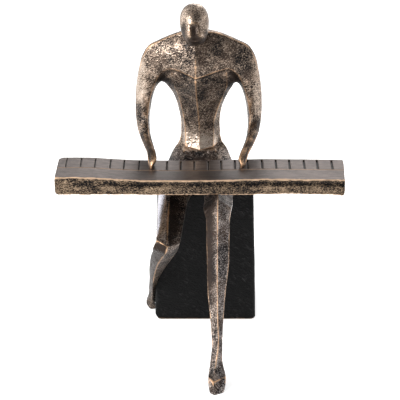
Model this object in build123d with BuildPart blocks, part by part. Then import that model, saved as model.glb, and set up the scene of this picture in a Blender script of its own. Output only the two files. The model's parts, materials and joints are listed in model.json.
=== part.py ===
from build123d import *
import os
from math import cos, radians, sin

os.makedirs("parts", exist_ok=True)

# Bronze statuette: a faceless musician sits on a tapered block and plays a long keyboard slab.
# Millimetres. X is to the right of somebody facing the figure, -Y is the way the figure faces, Z is up.
# The origin is the centre of the underside. "left" and "right" are the figure's own.

# ---- driving dimensions -------------------------------------------------------------------------
block_height = 137.0
block_width_foot = 103.2
block_width_head = 98.0
block_depth_foot = 96.0
block_depth_head = 92.0
block_wall = 5.0
block_lift = 0.2            # the rim of the block stands this far above the felt's underside
felt_thickness = 2.0
felt_margin = 4.0           # from the block's outer edge to the felt and the base plate
plate_thickness = 3.0
screw_inset = 11.0          # base-plate screws, from the block's outer edge
screw_shank = 2.0           # radius
screw_head = 4.0            # radius
screw_head_depth = 2.0
screw_length = 14.0
boss_radius = 7.0
boss_height = 18.0

keyboard_length = 282.6
keyboard_centre_x = -5.0
keyboard_front_y = -122.5
keyboard_back_y = -62.0
keyboard_bottom_z = 162.0
keyboard_top_z = 179.6
keyboard_corner = 3.0
key_count = 21
key_gap = 1.3
key_gap_depth = 1.6
key_length = 31.0

waist_z = 178.0             # casting seam between pelvis and torso
lap_y = -46.0               # casting seam between pelvis and thighs
right_shoulder_x = -44.0    # casting seams between torso and arms
left_shoulder_x = 31.0
figure_x = -6.0             # the figure sits a little to its right of the block's middle

dowel_radius = 2.5
pin_radius = 1.5
stud_radius = 3.0
stud_spacing = 30.0
stud_y = -8.0
nut_across_flats = 10.0
nut_thickness = 5.0
washer_radius = 8.0
washer_thickness = 1.6

ridge = 0.2                 # half-height of a limb's flat side, as a share of its depth


# ---- shared shapes ------------------------------------------------------------------------------
def ridged_section(centre, along, front, width, depth):
    """A six-sided limb section: two flat sides, and a crest in front and behind."""
    across = Vector(*along).cross(Vector(*front))
    with BuildSketch(Plane(origin=centre, x_dir=across, z_dir=along)) as section:
        with BuildLine():
            Polyline(
                (-width / 2, -ridge * depth),
                (0, -depth / 2),
                (width / 2, -ridge * depth),
                (width / 2, ridge * depth),
                (0, depth / 2),
                (-width / 2, ridge * depth),
                close=True,
            )
        make_face()
    return section.sketch


def limb_sections(stations, front, first=None, last=None):
    """Sections of a limb through (x, y, z, width, depth) stations, square to its path.
    first and last set the direction at an end that meets another casting."""
    sections = []
    for i, (x, y, z, width, depth) in enumerate(stations):
        before = Vector(*stations[max(i - 1, 0)][:3])
        after = Vector(*stations[min(i + 1, len(stations) - 1)][:3])
        along = (after - before).normalized()
        if i == 0 and first:
            along = Vector(*first).normalized()
        if i == len(stations) - 1 and last:
            along = Vector(*last).normalized()
        sections.append(ridged_section((x, y, z), along, front, width, depth))
    return sections


def level_section(z, points):
    """A horizontal section through corner points (x, y)."""
    with BuildSketch(Plane.XY.offset(z)) as section:
        with BuildLine():
            Polyline(*points, close=True)
        make_face()
    return section.sketch


def rod(middle, along, radius, half_length, mode=Mode.ADD):
    """A round dowel or, subtracted, its hole, centred on middle."""
    with Locations(Plane(origin=middle, z_dir=along)):
        Cylinder(radius, 2 * half_length, mode=mode)


def rods(places, radius, half_length, mode=Mode.ADD):
    """The same dowel or hole at several (middle, along) places."""
    for middle, along in places:
        rod(middle, along, radius, half_length, mode)


def write(builder, name):
    builder.part.label = name
    export_step(builder.part, f"parts/{name}.step")


# ---- where the dowels, pins and studs are -------------------------------------------------------
dowel_half = 9.0
pin_half = 6.0
foot_pin_y = -23.0
foot_pin_z = 9.0
neck_dowel_place = [((figure_x - 4, -52.0, 303.0), (0, -0.62, 0.78))]
neck_dowel_half = 10.0
shoulder_places = [
    ((right_shoulder_x, -37.0, 263.0), (1, 0, 0)),
    ((right_shoulder_x, -37.0, 284.0), (1, 0, 0)),
    ((left_shoulder_x, -37.0, 263.0), (1, 0, 0)),
    ((left_shoulder_x, -37.0, 284.0), (1, 0, 0)),
]
waist_places = [((figure_x + side * 10, -20.0, waist_z), (0, 0, 1)) for side in (-1, 1)]
hip_places = [((-24.0, lap_y, 152.0), (0, 1, 0)), ((11.5, lap_y, 153.0), (0, 1, 0))]
left_knee = (12.0, -133.0, 147.0)
left_knee_turn = (0, -0.85, -0.53)
right_knee = (-34.5, -124.0, 113.0)
right_knee_turn = (-0.1, -0.28, -0.955)
knee_places = [(left_knee, left_knee_turn), ((-36.0, -116.0, 110.8), right_knee_turn)]
knee_half = 5.0
hand_places = [((-53.0, -85.0, keyboard_top_z), (0, 0, 1)), ((36.0, -85.0, keyboard_top_z), (0, 0, 1))]
hand_pin_half = 4.5
keyboard_places = [((12.0, y, keyboard_bottom_z), (0, 0, 1)) for y in (-112.0, -82.0)]
foot_place = [((-block_width_foot / 2 + 0.4, foot_pin_y, foot_pin_z), (1, 0, 0))]
foot_pin_half = 4.0
stud_places = [figure_x - stud_spacing / 2, figure_x + stud_spacing / 2]


# ---- block: a hollow casting, open underneath, with a bossed corner for each base-plate screw -----
plate_width = block_width_foot - 2 * felt_margin
plate_depth = block_depth_foot - 2 * felt_margin
plate_bottom = felt_thickness
plate_top = felt_thickness + plate_thickness
screw_places = GridLocations(
    block_width_foot - 2 * screw_inset, block_depth_foot - 2 * screw_inset, 2, 2
)
cavity_top = block_height - block_wall - 1.0

with BuildPart() as block:
    with BuildSketch(Plane.XY.offset(block_lift)):
        RectangleRounded(block_width_foot, block_depth_foot, 3.0)
    with BuildSketch(Plane.XY.offset(block_height)):
        RectangleRounded(block_width_head, block_depth_head, 3.0)
    loft()
    with BuildSketch(Plane.XY.offset(plate_top)):
        RectangleRounded(block_width_foot - 2 * block_wall, block_depth_foot - 2 * block_wall, 2.0)
    with BuildSketch(Plane.XY.offset(cavity_top)):
        RectangleRounded(block_width_head - 2 * block_wall, block_depth_head - 2 * block_wall, 2.0)
    loft(mode=Mode.SUBTRACT)
    with BuildSketch(Plane.XY.offset(plate_top)):
        with screw_places:
            Circle(boss_radius)
    extrude(amount=boss_height)
    with BuildSketch(Plane.XY):
        Rectangle(plate_width, plate_depth)
    extrude(amount=plate_top, mode=Mode.SUBTRACT)
    with BuildSketch(Plane.XY.offset(plate_top)):
        with screw_places:
            Circle(screw_shank)
    extrude(amount=screw_length, mode=Mode.SUBTRACT)
    for x in stud_places:
        rod((x, stud_y, block_height), (0, 0, 1), stud_radius, 2 * block_wall, Mode.SUBTRACT)
    rods(foot_place, pin_radius, foot_pin_half, Mode.SUBTRACT)
write(block, "block")

screw_planes = [
    Plane(origin=(place.position.X, place.position.Y, plate_bottom), z_dir=(0, 0, -1))
    for place in screw_places.local_locations
]

with BuildPart() as base_plate:
    with BuildSketch(Plane.XY.offset(plate_bottom)):
        Rectangle(plate_width, plate_depth)
    extrude(amount=plate_thickness)
    with Locations(*screw_planes):
        CounterSinkHole(screw_shank, screw_head, plate_thickness, counter_sink_angle=90)
write(base_plate, "base_plate")

with BuildPart() as felt_pad:
    with BuildSketch(Plane.XY):
        Rectangle(plate_width, plate_depth)
    extrude(amount=felt_thickness)
write(felt_pad, "felt_pad")

with BuildPart() as base_plate_screws:
    for plane in screw_planes:
        middle = plane.origin
        with BuildSketch(Plane(origin=middle, x_dir=(1, 0, 0), z_dir=(0, -1, 0))):
            with BuildLine():
                Polyline(
                    (0, 0),
                    (screw_head, 0),
                    (screw_shank, screw_head - screw_shank),
                    (screw_shank, screw_length),
                    (0, screw_length),
                    close=True,
                )
            make_face()
        revolve(axis=Axis(middle, (0, 0, 1)))
write(base_plate_screws, "base_plate_screws")


# ---- keyboard: one slab, its keys parted by narrow gaps in the rear half of the top ---------------
keyboard_middle_y = (keyboard_front_y + keyboard_back_y) / 2
keyboard_depth = keyboard_back_y - keyboard_front_y
keyboard_thickness = keyboard_top_z - keyboard_bottom_z
key_pitch = keyboard_length / key_count

with BuildPart() as keyboard:
    with BuildSketch(Plane.XY.offset(keyboard_bottom_z)):
        with Locations((keyboard_centre_x, keyboard_middle_y)):
            RectangleRounded(keyboard_length, keyboard_depth, keyboard_corner)
    extrude(amount=keyboard_thickness)
    with BuildSketch(Plane.XY.offset(keyboard_top_z)):
        for i in range(1, key_count):
            gap_x = keyboard_centre_x - keyboard_length / 2 + i * key_pitch
            with Locations((gap_x, keyboard_back_y - key_length / 2)):
                Rectangle(key_gap, key_length)
    extrude(amount=-key_gap_depth, mode=Mode.SUBTRACT)
    rods(hand_places, pin_radius, hand_pin_half, Mode.SUBTRACT)
    rods(keyboard_places, dowel_radius, pin_half, Mode.SUBTRACT)
write(keyboard, "keyboard")


# ---- pelvis: hips and lap, seated on the block, bolted down from inside it ------------------------
with BuildPart() as pelvis:
    loft(ruled=True, sections=[
        level_section(block_height, [
            (-41, -30), (-39, -52), (-8, -50), (26, -52), (30, -30), (29, -4),
            (18, 9), (-6, 4), (-28, 9), (-40, -4)]),
        level_section(158, [
            (-40, -28), (-38, -52), (-8, -49), (26, -52), (29, -28), (27, -4),
            (16, 8), (-6, 3), (-26, 8), (-38, -4)]),
        level_section(170, [
            (-35, -25), (-31, -50), (-7, -44), (20, -50), (25, -25), (22, -6),
            (12, 4), (-6, 0), (-24, 4), (-33, -6)]),
        level_section(waist_z, [
            (-31, -23), (-22, -40), (-6, -41), (11, -40), (21, -23), (18, -9),
            (9, -1), (-5, -3), (-20, -1), (-28, -9)]),
    ])
    split(bisect_by=Plane(origin=(0, lap_y, 0), z_dir=(0, 1, 0)), keep=Keep.TOP)
    rods(waist_places, dowel_radius, dowel_half, Mode.SUBTRACT)
    rods(hip_places, dowel_radius, dowel_half, Mode.SUBTRACT)
    for x in stud_places:
        rod((x, stud_y, block_height), (0, 0, 1), stud_radius, stud_radius * 5, Mode.SUBTRACT)
write(pelvis, "pelvis")


# ---- torso: a ridged wedge, narrow at the waist and wide at the shoulders, chest plates in front ---
with BuildPart() as torso:
    loft(ruled=True, sections=[
        level_section(waist_z, [
            (-31, -19), (-31, -24), (-19.7, -36), (-5.6, -41), (7.8, -37),
            (21, -24), (21, -19), (11, -3), (-5, -1),
            (-21, -3)]),
        level_section(200, [
            (-24.5, -19), (-24.5, -23), (-20, -30), (-6.3, -35), (8, -31),
            (14.3, -23), (14.3, -19), (7, -9), (-5, -6),
            (-17, -9)]),
        level_section(220, [
            (-27.5, -20), (-27.5, -26), (-22, -32), (-7.5, -40), (14, -32),
            (16, -26), (16, -20), (9, -10), (-6, -7),
            (-20, -10)]),
        level_section(237, [
            (-32, -22), (-32, -31), (-26, -38), (-9, -46), (17, -38),
            (22, -31), (22, -22), (16, -12), (-7, -9),
            (-27, -12)]),
        level_section(252, [
            (-44.5, -24), (-44.5, -43), (-32, -49), (-10, -54), (22, -49),
            (34, -43), (34, -24), (24, -14), (-7, -11),
            (-35, -14)]),
        level_section(266, [
            (-54, -25), (-54, -49), (-33, -54), (-10, -57.5), (20, -54),
            (43, -49), (43, -25), (27, -15), (-7, -11),
            (-38, -15)]),
        level_section(284, [
            (-54, -27), (-54, -50), (-33, -54), (-10, -56), (20, -54),
            (43, -50), (43, -27), (27, -17), (-8, -13),
            (-38, -17)]),
        level_section(294, [
            (-46, -32), (-46, -49), (-32, -52), (-10, -54), (19, -52),
            (35, -49), (35, -32), (22, -20), (-8, -16),
            (-34, -20)]),
        level_section(303.5, [
            (-27, -36), (-27, -46), (-22, -49), (-10, -50), (5, -49),
            (11, -46), (11, -36), (6, -28), (-8, -25),
            (-20, -28)]),
    ])
    split(bisect_by=Plane(origin=(right_shoulder_x, 0, 0), z_dir=(1, 0, 0)), keep=Keep.TOP)
    split(bisect_by=Plane(origin=(left_shoulder_x, 0, 0), z_dir=(1, 0, 0)), keep=Keep.BOTTOM)
    rods(neck_dowel_place, dowel_radius, neck_dowel_half, Mode.SUBTRACT)
    rods(shoulder_places, dowel_radius, dowel_half, Mode.SUBTRACT)
    rods(waist_places, dowel_radius, dowel_half, Mode.SUBTRACT)
write(torso, "torso")


# ---- head: a smooth egg, bowed forward, on a short neck -------------------------------------------
head_crown = Vector(-12.0, -58.5, 337.5)
head_chin = Vector(-9.5, -81.0, 301.5)
head_radius = 14.2
head_taper = 0.12           # how much fuller the crown is than the chin
head_along = (head_crown - head_chin).normalized()
head_length = (head_crown - head_chin).length
neck_radius = 8.5
neck_foot = Vector(-9.0, -42.0, 298.0)
neck_top = Vector(-11.0, -62.0, 318.0)

head_profile = []
for step in range(9):
    turn = radians(180 * step / 8)
    fullness = 1 + head_taper * (1 - cos(turn)) / 2 - head_taper / 2
    head_profile.append((head_radius * fullness * sin(turn), head_length * (1 - cos(turn)) / 2))

with BuildPart() as head:
    with BuildSketch(Plane(origin=head_chin, x_dir=(1, 0, 0), z_dir=Vector(1, 0, 0).cross(head_along))):
        with BuildLine():
            Spline(*head_profile)
            Line(head_profile[-1], head_profile[0])
        make_face()
    revolve(axis=Axis(head_chin, head_along))
    with BuildSketch(Plane(origin=neck_foot, z_dir=neck_top - neck_foot)):
        Circle(neck_radius)
    extrude(amount=(neck_top - neck_foot).length)
    add(torso.part, mode=Mode.SUBTRACT)
    rods(neck_dowel_place, dowel_radius, neck_dowel_half, Mode.SUBTRACT)
write(head, "head")


# ---- arms: shoulder, upper arm, forearm and a closed hand flat on the keys, each one casting -------
right_arm_stations = [
    (right_shoulder_x, -37.5, 273.5, 44, 27),
    (-53.5, -37.5, 271.0, 36, 27),
    (-57.5, -36.0, 259.0, 21, 25),
    (-61.6, -33.0, 240.0, 16.5, 23),
    (-63.2, -29.5, 219.0, 14.2, 21),
    (-62.2, -34.5, 205.5, 13.6, 19),
    (-58.6, -55.0, 197.5, 12.6, 15),
    (-54.2, -74.0, 190.5, 10.5, 12.5),
    (-52.2, -85.5, 182.5, 8.5, 10.5),
    (-52.0, -92.0, 177.0, 5.0, 7.0),
]
left_arm_stations = [
    (left_shoulder_x, -37.5, 273.5, 44, 27),
    (41.0, -37.5, 271.0, 36, 27),
    (44.5, -36.0, 259.0, 21, 25),
    (47.5, -33.0, 240.0, 16.5, 23),
    (49.2, -29.5, 219.0, 14.0, 21),
    (48.6, -34.5, 205.5, 13.4, 19),
    (45.0, -55.0, 197.5, 12.4, 15),
    (39.8, -74.0, 190.5, 10.5, 12.5),
    (36.6, -85.5, 182.5, 8.5, 10.5),
    (35.8, -92.0, 177.0, 5.0, 7.0),
]
keys_plane = Plane(origin=(0, 0, keyboard_top_z), z_dir=(0, 0, 1))

with BuildPart() as right_arm:
    loft(limb_sections(right_arm_stations, front=(0, -1, 0), first=(-1, 0, 0)), ruled=True)
    split(bisect_by=keys_plane, keep=Keep.TOP)
    rods(shoulder_places[:2], dowel_radius, dowel_half, Mode.SUBTRACT)
    rods(hand_places[:1], pin_radius, hand_pin_half, Mode.SUBTRACT)
write(right_arm, "right_arm")

with BuildPart() as left_arm:
    loft(limb_sections(left_arm_stations, front=(0, -1, 0), first=(1, 0, 0)), ruled=True)
    split(bisect_by=keys_plane, keep=Keep.TOP)
    rods(shoulder_places[2:], dowel_radius, dowel_half, Mode.SUBTRACT)
    rods(hand_places[1:], pin_radius, hand_pin_half, Mode.SUBTRACT)
write(left_arm, "left_arm")


# ---- legs: the left one reaches forward to the floor, the right one is drawn back beside the block -
with BuildPart() as left_thigh:
    loft(ruled=True, sections=limb_sections(
        [
            (11.5, lap_y, 153.5, 30, 34),
            (11.8, -85.0, 150.0, 27, 27),
            (12.0, -118.0, 148.0, 25, 26),
            (*left_knee, 24.0, 27),
        ],
        front=(0, 0, 1), first=(0, -1, 0), last=left_knee_turn))
    add(keyboard.part, mode=Mode.SUBTRACT)
    rods(keyboard_places, dowel_radius, pin_half, Mode.SUBTRACT)
    rods(hip_places[1:], dowel_radius, dowel_half, Mode.SUBTRACT)
    rods(knee_places[:1], dowel_radius, knee_half, Mode.SUBTRACT)
write(left_thigh, "left_thigh")

with BuildPart() as left_lower_leg:
    loft(ruled=True, sections=limb_sections(
        [
            (*left_knee, 24.0, 27),
            (11.6, -155.0, 103.6, 21.6, 24),
            (10.2, -166.0, 79.0, 17.6, 20),
            (10.4, -178.5, 52.0, 12.4, 15),
            (10.6, -190.0, 30.0, 10.4, 12.5),
            (10.8, -197.0, 17.5, 12.5, 14),
            (10.8, -213.0, 8.2, 17.0, 13.0),
            (8.2, -231.5, 1.8, 6.0, 4.0),
        ],
        front=(0, -1, 0), first=left_knee_turn))
    split(bisect_by=Plane.XY, keep=Keep.TOP)
    rods(knee_places[:1], dowel_radius, knee_half, Mode.SUBTRACT)
write(left_lower_leg, "left_lower_leg")

with BuildPart() as right_thigh:
    loft(ruled=True, sections=limb_sections(
        [
            (-24.0, lap_y, 151.5, 31, 36),
            (-31.0, -80.0, 131.5, 27.6, 29),
            (-33.8, -108.0, 119.5, 25, 27),
            (*right_knee, 23.6, 26),
        ],
        front=(0, 0, 1), first=(0, -1, 0), last=right_knee_turn))
    add(keyboard.part, mode=Mode.SUBTRACT)
    add(block.part, mode=Mode.SUBTRACT)
    rods(hip_places[:1], dowel_radius, dowel_half, Mode.SUBTRACT)
    rods(knee_places[1:], dowel_radius, knee_half, Mode.SUBTRACT)
write(right_thigh, "right_thigh")

with BuildPart() as right_lower_leg:
    loft(ruled=True, sections=limb_sections(
        [
            (*right_knee, 23.6, 26),
            (-40.0, -112.0, 92.0, 22.6, 24),
            (-46.6, -88.0, 68.0, 16.0, 19),
            (-52.6, -60.0, 43.0, 11.6, 15),
            (-55.8, -40.0, 24.0, 9.8, 13),
            (-56.2, -27.0, 10.0, 10.4, 12),
            (-55.4, -18.0, 3.0, 8.0, 6),
        ],
        front=(0, -1, 0), first=right_knee_turn))
    split(bisect_by=Plane.XY, keep=Keep.TOP)
    add(block.part, mode=Mode.SUBTRACT)
    rods(knee_places[1:], dowel_radius, knee_half, Mode.SUBTRACT)
    rods(foot_place, pin_radius, foot_pin_half, Mode.SUBTRACT)
write(right_lower_leg, "right_lower_leg")


# ---- dowels, pins and the studs that hold the castings together ------------------------------------
with BuildPart() as neck_dowel:
    rods(neck_dowel_place, dowel_radius, neck_dowel_half)
write(neck_dowel, "neck_dowel")

with BuildPart() as shoulder_dowels:
    rods(shoulder_places, dowel_radius, dowel_half)
write(shoulder_dowels, "shoulder_dowels")

with BuildPart() as waist_dowels:
    rods(waist_places, dowel_radius, dowel_half)
write(waist_dowels, "waist_dowels")

with BuildPart() as hip_dowels:
    rods(hip_places, dowel_radius, dowel_half)
write(hip_dowels, "hip_dowels")

with BuildPart() as knee_dowels:
    rods(knee_places, dowel_radius, knee_half)
write(knee_dowels, "knee_dowels")

with BuildPart() as keyboard_dowels:
    rods(keyboard_places, dowel_radius, pin_half)
write(keyboard_dowels, "keyboard_dowels")

with BuildPart() as hand_pins:
    rods(hand_places, pin_radius, hand_pin_half)
write(hand_pins, "hand_pins")

with BuildPart() as foot_pin:
    rods(foot_place, pin_radius, foot_pin_half)
write(foot_pin, "foot_pin")

stud_foot = cavity_top - washer_thickness - nut_thickness - 2.0
stud_head = block_height + stud_radius * 5

with BuildPart() as seat_studs:
    with BuildSketch(Plane.XY.offset(stud_foot)):
        with Locations(*[(x, stud_y) for x in stud_places]):
            Circle(stud_radius)
    extrude(amount=stud_head - stud_foot)
write(seat_studs, "seat_studs")

with BuildPart() as seat_washers:
    with BuildSketch(Plane.XY.offset(cavity_top - washer_thickness)):
        with Locations(*[(x, stud_y) for x in stud_places]):
            Circle(washer_radius)
            Circle(stud_radius, mode=Mode.SUBTRACT)
    extrude(amount=washer_thickness)
write(seat_washers, "seat_washers")

with BuildPart() as seat_nuts:
    with BuildSketch(Plane.XY.offset(cavity_top - washer_thickness - nut_thickness)):
        with Locations(*[(x, stud_y) for x in stud_places]):
            RegularPolygon(nut_across_flats / 2, 6, major_radius=False)
            Circle(stud_radius, mode=Mode.SUBTRACT)
    extrude(amount=nut_thickness)
write(seat_nuts, "seat_nuts")
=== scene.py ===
import json
from math import cos, pi, radians, sin

import bmesh
import bpy
import numpy as np
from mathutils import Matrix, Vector


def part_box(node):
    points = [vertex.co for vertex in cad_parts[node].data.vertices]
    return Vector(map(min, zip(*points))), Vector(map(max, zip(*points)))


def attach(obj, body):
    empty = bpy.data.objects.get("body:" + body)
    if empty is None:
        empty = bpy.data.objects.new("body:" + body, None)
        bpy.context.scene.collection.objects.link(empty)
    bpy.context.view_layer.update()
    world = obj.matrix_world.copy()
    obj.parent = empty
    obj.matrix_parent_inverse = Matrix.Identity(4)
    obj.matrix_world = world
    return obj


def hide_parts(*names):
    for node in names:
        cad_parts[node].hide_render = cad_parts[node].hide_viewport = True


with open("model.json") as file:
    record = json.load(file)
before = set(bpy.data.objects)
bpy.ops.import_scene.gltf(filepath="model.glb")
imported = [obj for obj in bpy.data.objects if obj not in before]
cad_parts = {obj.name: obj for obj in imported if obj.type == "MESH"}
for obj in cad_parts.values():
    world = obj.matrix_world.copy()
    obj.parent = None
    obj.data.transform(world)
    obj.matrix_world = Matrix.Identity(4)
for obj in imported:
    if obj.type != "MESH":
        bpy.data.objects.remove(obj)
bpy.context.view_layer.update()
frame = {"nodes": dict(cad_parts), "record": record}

# Seated keyboard player in patinated bronze on a black block. Shapes are worked out in millimetres and
# turned into metres when a mesh is made. X is to the right of somebody facing the figure, -Y is the way
# the figure faces, Z is up. "left" and "right" are the figure's own.

MM = 0.001
VOXEL = 0.62  # size of the figure skin's cells
HEAD_VOXEL = 0.6
ROW_STEP = 1.5  # between the rows of a loft
SIDE_POINTS = 8  # along each side of a loft's section
RIDGE_WIDTH = 1.1  # ridges sharper than this are rubbed bright
FORM_WIDTH = 3.0  # how wide the swellings are that wear a little more
SOFT_WIDTH = 2.6  # how widely the softened places are averaged
SWELL = 0.25  # unevenness of the castings


def box_mm(node):
    """Lowest and highest corner of a CAD node, in millimetres."""
    low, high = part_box(node)
    return np.array(low) / MM, np.array(high) / MM


keys_low, keys_high = box_mm("keyboard")
block_low, block_high = box_mm("block")
keys_top = keys_high[2]
seat_z = block_high[2]


# ---- shape tools ----
def eased(t, gap, start, end, start_slope, end_slope):
    """The point of a smooth curve at the share t of the way across a gap."""
    return ((2 * t**3 - 3 * t**2 + 1) * start + (t**3 - 2 * t**2 + t) * gap * start_slope
            + (-2 * t**3 + 3 * t**2) * end + (t**3 - t**2) * gap * end_slope)


def smooth_stations(stations):
    """Runs a smooth curve through each corner of the stations."""
    points = np.array(stations, dtype=float)
    gaps = np.linalg.norm(np.diff(points, axis=0), axis=2).mean(axis=1)
    slope = np.gradient(points, np.concatenate([[0], np.cumsum(gaps)]), axis=0)
    rows = []
    for i, gap in enumerate(gaps):
        count = max(2, int(round(gap / ROW_STEP)))
        for t in np.arange(count) / count:
            rows.append(eased(t, gap, points[i], points[i + 1], slope[i], slope[i + 1]))
    rows.append(points[-1])
    return np.array(rows)


def ring_points(corners, bulge):
    """Points round one section: straight or bowed sides between its corners."""
    middle = corners.mean(axis=0)
    points = []
    for k, corner in enumerate(corners):
        after = corners[(k + 1) % len(corners)]
        side = after - corner
        length = np.linalg.norm(side)
        out = (corner + after) / 2 - middle
        out = out - side * np.dot(out, side) / length**2
        out = out / np.linalg.norm(out)
        for t in np.arange(SIDE_POINTS) / SIDE_POINTS:
            points.append(corner + side * t + out * bulge[k] * length * 4 * t * (1 - t))
    return points


def tube(rings):
    """A closed skin over a stack of rings of equally many points. Returns vertices and faces."""
    count = len(rings[0])
    faces = []
    for r in range(len(rings) - 1):
        for k in range(count):
            a, b = r * count + k, r * count + (k + 1) % count
            faces.append((a, b, b + count, a + count))
    faces.append(tuple(reversed(range(count))))
    faces.append(tuple(range((len(rings) - 1) * count, len(rings) * count)))
    return [tuple(point) for ring in rings for point in ring], faces


def loft(stations, bulge):
    """A closed skin through sections of the same number of corners."""
    return tube([ring_points(row, bulge) for row in smooth_stations(stations)])


def joined(skins):
    """One mesh from several skins that run into each other, all facing outwards."""
    verts, faces = [], []
    for some_verts, some_faces in skins:
        start = len(verts)
        verts += some_verts
        faces += [tuple(i + start for i in face) for face in some_faces]
    mesh = bpy.data.meshes.new("parts")
    mesh.from_pydata(verts, [], faces)
    mesh.validate()
    bm = bmesh.new()
    bm.from_mesh(mesh)
    bmesh.ops.recalc_face_normals(bm, faces=bm.faces)
    bm.to_mesh(mesh)
    bm.free()
    return mesh


def new_object(name, data):
    thing = bpy.data.objects.new(name, data)
    bpy.context.scene.collection.objects.link(thing)
    return thing


def remeshed(mesh, voxel):
    """The union of a mesh's closed shells as one even skin."""
    holder = new_object("remesh", mesh)
    modifier = holder.modifiers.new("skin", "REMESH")
    modifier.mode = "VOXEL"
    modifier.voxel_size = voxel
    depsgraph = bpy.context.evaluated_depsgraph_get()
    skin = bpy.data.meshes.new_from_object(holder.evaluated_get(depsgraph))
    bpy.data.objects.remove(holder)
    return skin


def positions(mesh, kind="co"):
    out = np.empty(len(mesh.vertices) * 3)
    mesh.vertices.foreach_get(kind, out)
    return out.reshape(-1, 3)


def set_positions(mesh, points):
    mesh.vertices.foreach_set("co", points.ravel())
    mesh.update()


def normals(mesh):
    return positions(mesh, "normal")


def relaxed(mesh, points, rounds):
    """Points drawn halfway to the mean of their neighbours, rounds times."""
    edges = np.empty(len(mesh.edges) * 2, dtype=np.int64)
    mesh.edges.foreach_get("vertices", edges)
    a, b = edges[0::2], edges[1::2]
    count = np.bincount(a, minlength=len(points)) + np.bincount(b, minlength=len(points))
    count = np.maximum(count, 1)
    for _ in range(rounds):
        total = np.zeros_like(points)
        for axis in range(points.shape[1]):
            total[:, axis] = np.bincount(a, points[b, axis], len(points))
            total[:, axis] += np.bincount(b, points[a, axis], len(points))
        points = points + 0.5 * (total / count[:, None] - points)
    return points


def lattice_noise(points, cell, seed):
    """Smooth noise from 0 to 1 with features about a cell wide, the same in every run."""
    at = points / np.asarray(cell)
    base = np.floor(at).astype(np.int64)
    part = at - base
    part = part * part * (3 - 2 * part)
    value = np.zeros(len(points))
    for corner in range(8):
        offset = np.array([corner & 1, (corner >> 1) & 1, corner >> 2])
        x, y, z = (base + offset).T
        code = x * 73856093 ^ y * 19349663 ^ z * 83492791 ^ seed * 2654435761
        code = (code ^ (code >> 13)) * 1274126177 & 0xFFFFFFFF
        code = (code ^ (code >> 16)) & 0xFFFF
        value += np.prod(np.where(offset == 1, part, 1 - part), axis=1) * code / 65535
    return value


def fade(low, high, value):
    """0 where a value is at low or beyond, 1 at high or beyond, and smooth in between."""
    t = np.clip((value - low) / (high - low), 0, 1)
    return t * t * (3 - 2 * t)


def band(value, middle, width):
    """1 where a value is at the middle, falling to 0 on both sides."""
    return np.exp(-((value - middle) / width) ** 2)


def add_attributes(mesh, **attributes):
    """Values at each point, for the materials."""
    for name, values in attributes.items():
        layer = mesh.attributes.new(name, "FLOAT", "POINT")
        layer.data.foreach_set("value", values.astype(np.float32))


def spread(mesh, points, sigma, voxel):
    """Points averaged over about sigma millimetres of the skin."""
    return relaxed(mesh, points, max(1, int(round(4 * sigma**2 / voxel**2))))


def finish_surface(mesh, voxel, polish, soot, pit_depth, smooth_rounds, soften=None, keen=None):
    """Softens the cells, measures how exposed each point is, and pits the surface as a casting is."""
    points = relaxed(mesh, positions(mesh), smooth_rounds)
    if soften is not None:
        share = soften(points)[:, None]
        points = points * (1 - share) + spread(mesh, points, SOFT_WIDTH, voxel) * share
    set_positions(mesh, points)
    outward = normals(mesh)

    def exposed(width):
        """How far each point stands out from the skin around it."""
        return np.einsum("ij,ij->i", points - spread(mesh, points, width, voxel), outward)

    ridge = exposed(RIDGE_WIDTH)
    if keen is not None:
        ridge *= keen(points, outward)
    shine = polish(points, outward)
    add_attributes(mesh, ridge=ridge, form=exposed(FORM_WIDTH), polish=shine, soot=soot(points, outward))
    pits = fade(0.5, 0.75, lattice_noise(points, 1.7, 3) * 0.6 + lattice_noise(points + 40, 0.95, 5) * 0.4)
    keep = 1 - 0.85 * np.minimum(shine, 1)
    sharp = 1 - fade(0.05, 0.25, ridge)
    swell = SWELL * (lattice_noise(points, 7.0, 11) - 0.5)
    depth = pit_depth * pits * keep * sharp - swell * keep
    set_positions(mesh, points - outward * depth[:, None])


def cut(mesh, name, planes):
    """The closed piece of a mesh on the inner side of every (point, outward direction) plane."""
    bm = bmesh.new()
    bm.from_mesh(mesh)
    for point, direction in planes:
        done = bmesh.ops.bisect_plane(
            bm, geom=bm.verts[:] + bm.edges[:] + bm.faces[:], plane_co=point, plane_no=direction,
            clear_outer=True, dist=1e-4)
        rim = [item for item in done["geom_cut"] if isinstance(item, bmesh.types.BMEdge)]
        if rim:
            bmesh.ops.holes_fill(bm, edges=rim, sides=0)
    left_open = [edge for edge in bm.edges if edge.is_boundary]
    if left_open:
        bmesh.ops.holes_fill(bm, edges=left_open, sides=0)
    bmesh.ops.triangulate(bm, faces=[face for face in bm.faces if len(face.verts) > 4])
    piece = bpy.data.meshes.new(name)
    bm.to_mesh(piece)
    bm.free()
    return piece


def place(mesh, name, node, material):
    """Turns a finished mesh into a piece that stands for a CAD node."""
    set_positions(mesh, positions(mesh) * MM)
    mesh.name = name
    mesh.polygons.foreach_set("use_smooth", [True] * len(mesh.polygons))
    mesh.materials.clear()
    mesh.materials.append(material)
    piece = new_object(name, mesh)
    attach(piece, "root")
    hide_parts(node)


# ---- figure: corner lines of each part, from which its facets are spanned ----
def level(z, *corners):
    """A section at one height."""
    return [(x, y, z) for x, y in corners]


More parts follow.
